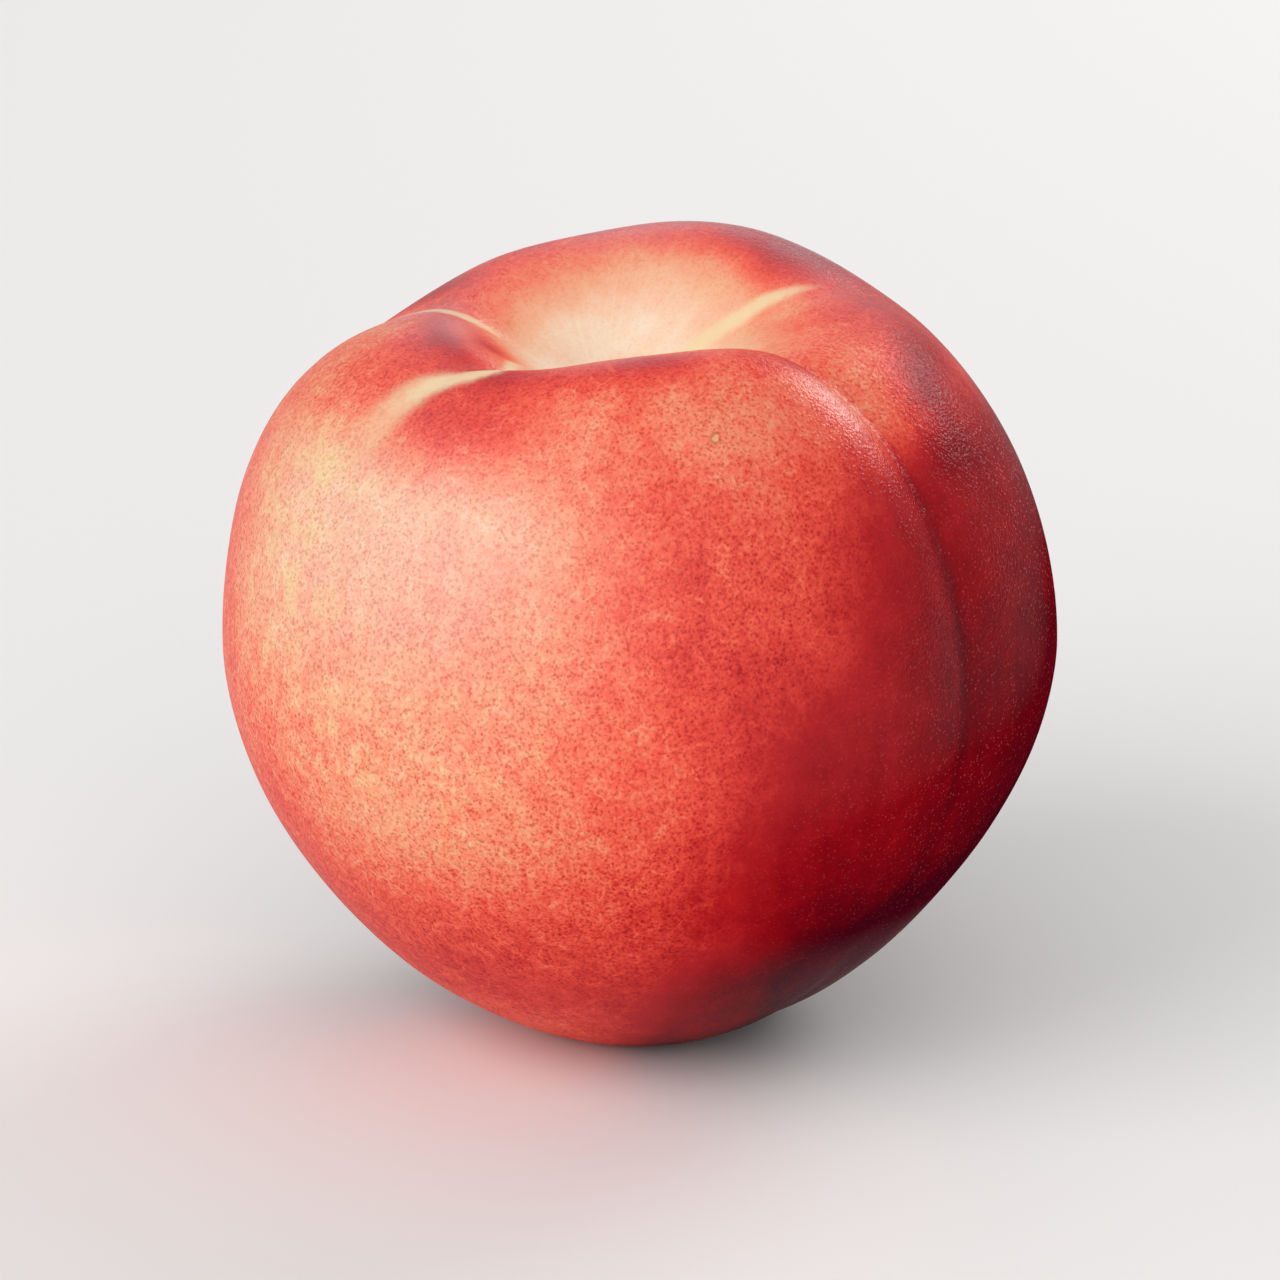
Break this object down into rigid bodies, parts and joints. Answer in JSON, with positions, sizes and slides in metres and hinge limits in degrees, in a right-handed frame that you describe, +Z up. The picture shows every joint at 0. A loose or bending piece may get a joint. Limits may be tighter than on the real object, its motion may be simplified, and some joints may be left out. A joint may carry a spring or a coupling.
{
  "type": "nectarine",
  "caption": "Whole ripe nectarine: smooth round fruit with a stem hollow, a shallow seam down its side and a small flat under its blossom end.",
  "frame": {"origin": "middle of the underside of the fruit's bounding box, on the surface that it rests on, under the blossom end", "axes": "+Z up along the fruit's axis towards the stem hollow; the seam runs down the -Y side; +X to the right when facing the seam"},
  "size_m": [0.0708, 0.0688, 0.0646],
  "materials": {
    "nectarine_skin": "smooth waxy fruit skin with a satin sheen, coral to crimson blush over pale peach"
  },
  "bodies": {
    "root": {"nectarine": "nectarine_skin"}
  },
  "joints": []
}
